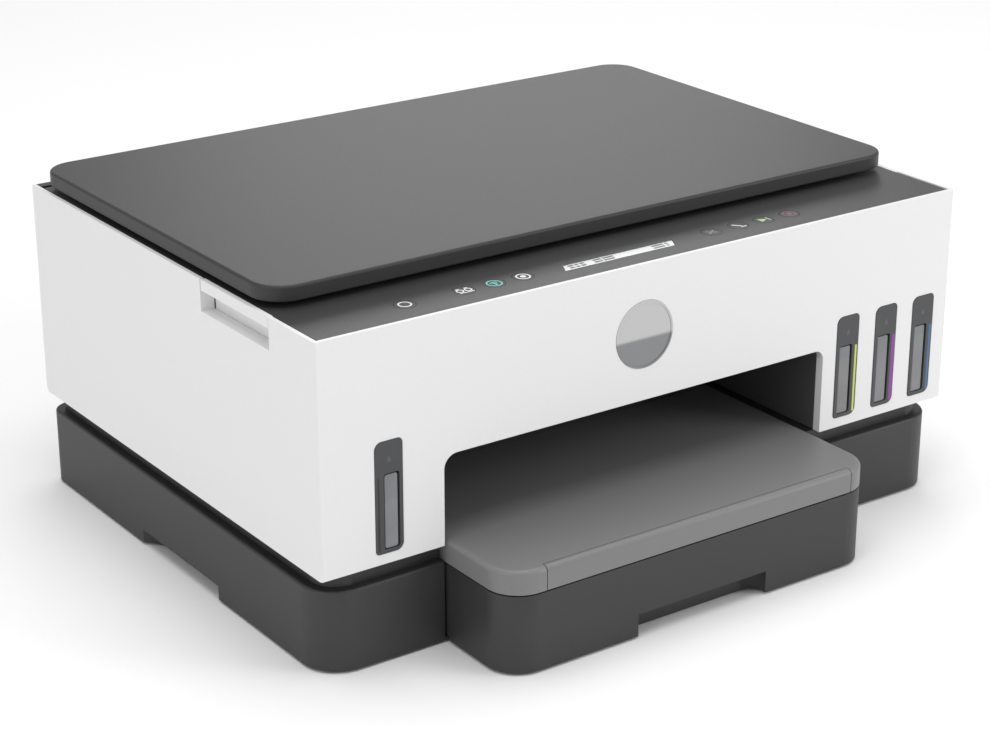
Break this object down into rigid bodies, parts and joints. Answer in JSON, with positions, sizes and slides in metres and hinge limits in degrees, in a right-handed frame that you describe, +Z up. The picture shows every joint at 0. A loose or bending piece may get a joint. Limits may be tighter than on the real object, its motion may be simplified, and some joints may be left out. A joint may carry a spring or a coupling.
{
  "type": "inkjet printer",
  "caption": "Multifunction inkjet printer: white wrap-round shell on a dark base, flatbed scanner lid, front key row, ink tank windows and a front paper drawer with output tray",
  "frame": {"origin": "middle of the footprint on the surface the feet stand on", "axes": "+Z up, the front with the paper drawer faces -Y, +X to the right seen from the front"},
  "size_m": [0.449, 0.385, 0.205],
  "materials": {
    "badge_metal": "brushed satin",
    "belt_rubber": "toothed",
    "bezel_plastic": "smooth satin",
    "cap_black": "smooth",
    "cap_cyan": "smooth",
    "cap_magenta": "smooth",
    "cap_yellow": "smooth",
    "carriage_plastic": "fine moulded texture",
    "circuit_board": "solder mask",
    "dark_body": "fine moulded texture",
    "deck_plastic": "fine moulded texture",
    "display_window": "display with plain blocks",
    "foot_rubber": "matte",
    "gear_plastic": "smooth acetal",
    "guide_blue_grey": "smooth",
    "head_plastic": "smooth",
    "inner_black": "plain moulded",
    "inner_grey": "plain moulded",
    "key_plastic": "satin with a printed symbol",
    "lid_plastic": "fine moulded texture",
    "motor_steel": "drawn can",
    "output_grey": "fine moulded texture",
    "pad_foam": "foam with white film",
    "pickup_rubber": "ground",
    "pinion_brass": "machined",
    "psu_case": "fine texture",
    "rail_steel": "rolled sheet",
    "roller_rubber": "ground",
    "scanner_glass": "clear",
    "screw_steel": "zinc plated",
    "socket_black": "smooth",
    "tank_window_black": "smoky translucent",
    "tank_window_cyan": "smoky translucent",
    "tank_window_magenta": "smoky translucent",
    "tank_window_yellow": "smoky translucent",
    "tube_plastic": "smooth",
    "usb_metal": "plated",
    "white_shell": "fine moulded texture"
  },
  "bodies": {
    "housing": {"base_housing": "dark_body", "outer_shell": "white_shell", "rear_cover": "dark_body", "rubber_feet": "foot_rubber", "tank_bezels": "bezel_plastic", "badge": "badge_metal", "exit_liner": "inner_black", "carriage_rail": "rail_steel", "platen": "inner_black", "service_station": "inner_grey", "power_supply": "psu_case", "main_board": "circuit_board", "carriage_motor": "motor_steel", "feed_motor": "motor_steel", "carriage_belt": "belt_rubber", "ink_tubes": "tube_plastic", "screws": "screw_steel", "power_inlet": "socket_black", "usb_port": "usb_metal", "ink_tank_black": "tank_window_black", "ink_tank_yellow": "tank_window_yellow", "ink_tank_magenta": "tank_window_magenta", "ink_tank_cyan": "tank_window_cyan"},
    "rear_door": {"rear_access_door": "dark_body"},
    "carriage": {"carriage": "carriage_plastic", "print_heads": "head_plastic"},
    "drive_pulley": {"drive_pulley": "gear_plastic"},
    "idler_pulley": {"idler_pulley": "gear_plastic"},
    "feed_shaft": {"feed_roller": "roller_rubber", "feed_gear": "gear_plastic"},
    "pinion": {"motor_pinion": "pinion_brass"},
    "output_shaft": {"output_roller": "roller_rubber"},
    "pickup_shaft": {"pickup_roller": "pickup_rubber"},
    "scanner": {"top_deck": "deck_plastic", "scanner_pan": "inner_grey", "scanner_glass": "scanner_glass", "display": "display_window", "lift_grips": "white_shell", "lid_hinges": "dark_body"},
    "scan_bar": {"scan_bar": "inner_black"},
    "lid": {"lid": "lid_plastic", "lid_pad": "pad_foam"},
    "paper_tray": {"paper_tray": "dark_body"},
    "output_tray": {"output_tray": "output_grey"},
    "tray_extender": {"tray_extender": "output_grey"},
    "width_guide_left": {"width_guide_left": "guide_blue_grey"},
    "width_guide_right": {"width_guide_right": "guide_blue_grey"},
    "length_guide": {"length_guide": "guide_blue_grey"},
    "cap_black": {"ink_cap_black": "cap_black"},
    "cap_yellow": {"ink_cap_yellow": "cap_yellow"},
    "cap_magenta": {"ink_cap_magenta": "cap_magenta"},
    "cap_cyan": {"ink_cap_cyan": "cap_cyan"},
    "key_power": {"button_power": "key_plastic"},
    "key_scan": {"button_scan": "key_plastic"},
    "key_wifi": {"button_wifi": "key_plastic"},
    "key_info": {"button_info": "key_plastic"},
    "key_cancel": {"button_cancel": "key_plastic"},
    "key_colour": {"button_colour": "key_plastic"},
    "key_mono": {"button_mono": "key_plastic"},
    "key_resume": {"button_resume": "key_plastic"}
  },
  "joints": [
    {"name": "scanner_lift", "type": "hinge", "parent": "housing", "child": "scanner", "pos_m": [0, 0.188, 0.19], "axis": [-1, 0, 0], "range_deg": [0, 30]},
    {"name": "lid_hinge", "type": "hinge", "parent": "scanner", "child": "lid", "pos_m": [0, 0.184, 0.1995], "axis": [-1, 0, 0], "range_deg": [0, 80]},
    {"name": "scan_travel", "type": "slide", "parent": "scanner", "child": "scan_bar", "axis": [1, 0, 0], "range_m": [0, 0.27]},
    {"name": "press_power", "type": "slide", "parent": "scanner", "child": "key_power", "axis": [0, 0, -1], "range_m": [0, 0.0007], "stiffness_N_per_m": 400},
    {"name": "press_scan", "type": "slide", "parent": "scanner", "child": "key_scan", "axis": [0, 0, -1], "range_m": [0, 0.0007], "stiffness_N_per_m": 400},
    {"name": "press_wifi", "type": "slide", "parent": "scanner", "child": "key_wifi", "axis": [0, 0, -1], "range_m": [0, 0.0007], "stiffness_N_per_m": 400},
    {"name": "press_info", "type": "slide", "parent": "scanner", "child": "key_info", "axis": [0, 0, -1], "range_m": [0, 0.0007], "stiffness_N_per_m": 400},
    {"name": "press_cancel", "type": "slide", "parent": "scanner", "child": "key_cancel", "axis": [0, 0, -1], "range_m": [0, 0.0007], "stiffness_N_per_m": 400},
    {"name": "press_colour", "type": "slide", "parent": "scanner", "child": "key_colour", "axis": [0, 0, -1], "range_m": [0, 0.0007], "stiffness_N_per_m": 400},
    {"name": "press_mono", "type": "slide", "parent": "scanner", "child": "key_mono", "axis": [0, 0, -1], "range_m": [0, 0.0007], "stiffness_N_per_m": 400},
    {"name": "press_resume", "type": "slide", "parent": "scanner", "child": "key_resume", "axis": [0, 0, -1], "range_m": [0, 0.0007], "stiffness_N_per_m": 400},
    {"name": "rear_door_hinge", "type": "hinge", "parent": "housing", "child": "rear_door", "pos_m": [0, 0.1909, 0.079], "axis": [-1, 0, 0], "range_deg": [0, 85]},
    {"name": "cap_hinge_black", "type": "hinge", "parent": "housing", "child": "cap_black", "pos_m": [-0.1835, -0.045, 0.126], "axis": [-1, 0, 0], "range_deg": [0, 95]},
    {"name": "cap_hinge_yellow", "type": "hinge", "parent": "housing", "child": "cap_yellow", "pos_m": [0.1435, -0.045, 0.126], "axis": [-1, 0, 0], "range_deg": [0, 95]},
    {"name": "cap_hinge_magenta", "type": "hinge", "parent": "housing", "child": "cap_magenta", "pos_m": [0.1735, -0.045, 0.126], "axis": [-1, 0, 0], "range_deg": [0, 95]},
    {"name": "cap_hinge_cyan", "type": "hinge", "parent": "housing", "child": "cap_cyan", "pos_m": [0.2015, -0.045, 0.126], "axis": [-1, 0, 0], "range_deg": [0, 95]},
    {"name": "carriage_travel", "type": "slide", "parent": "housing", "child": "carriage", "axis": [-1, 0, 0], "range_m": [0, 0.32]},
    {"name": "drive_pulley_spin", "type": "hinge", "parent": "housing", "child": "drive_pulley", "pos_m": [-0.198, 0.096, 0.123], "axis": [0, 0, 1], "continuous": true},
    {"name": "idler_pulley_spin", "type": "hinge", "parent": "housing", "child": "idler_pulley", "pos_m": [0.198, 0.096, 0.123], "axis": [0, 0, 1], "continuous": true},
    {"name": "feed_spin", "type": "hinge", "parent": "housing", "child": "feed_shaft", "pos_m": [0, 0.07, 0.076], "axis": [1, 0, 0], "continuous": true},
    {"name": "pinion_spin", "type": "hinge", "parent": "housing", "child": "pinion", "pos_m": [-0.2075, 0.0884, 0.076], "axis": [1, 0, 0], "continuous": true},
    {"name": "output_spin", "type": "hinge", "parent": "housing", "child": "output_shaft", "pos_m": [0, 0.008, 0.076], "axis": [1, 0, 0], "continuous": true},
    {"name": "pickup_spin", "type": "hinge", "parent": "housing", "child": "pickup_shaft", "pos_m": [0, 0.098, 0.054], "axis": [1, 0, 0], "continuous": true},
    {"name": "tray_pull", "type": "slide", "parent": "housing", "child": "paper_tray", "axis": [0, -1, 0], "range_m": [0, 0.2]},
    {"name": "output_tray_lift", "type": "hinge", "parent": "paper_tray", "child": "output_tray", "pos_m": [0, -0.009, 0.0515], "axis": [-1, 0, 0], "range_deg": [0, 10]},
    {"name": "extender_pull", "type": "slide", "parent": "output_tray", "child": "tray_extender", "axis": [0, -1, 0], "range_m": [0, 0.1]},
    {"name": "width_adjust", "type": "slide", "parent": "paper_tray", "child": "width_guide_left", "axis": [1, 0, 0], "range_m": [0, 0.05]},
    {"name": "width_follow", "type": "slide", "parent": "paper_tray", "child": "width_guide_right", "axis": [1, 0, 0], "range_m": [-0.05, 0]},
    {"name": "length_adjust", "type": "slide", "parent": "paper_tray", "child": "length_guide", "axis": [0, 1, 0], "range_m": [0, 0.08]}
  ],
  "couplings": [
    {"joint": "drive_pulley_spin", "follows": "carriage_travel", "rad_per_m": -147.06},
    {"joint": "idler_pulley_spin", "follows": "carriage_travel", "rad_per_m": -147.06},
    {"joint": "pinion_spin", "follows": "feed_spin", "ratio": -2},
    {"joint": "output_spin", "follows": "feed_spin", "ratio": 1},
    {"joint": "pickup_spin", "follows": "feed_spin", "ratio": 0.6},
    {"joint": "width_follow", "follows": "width_adjust", "ratio": -1}
  ]
}
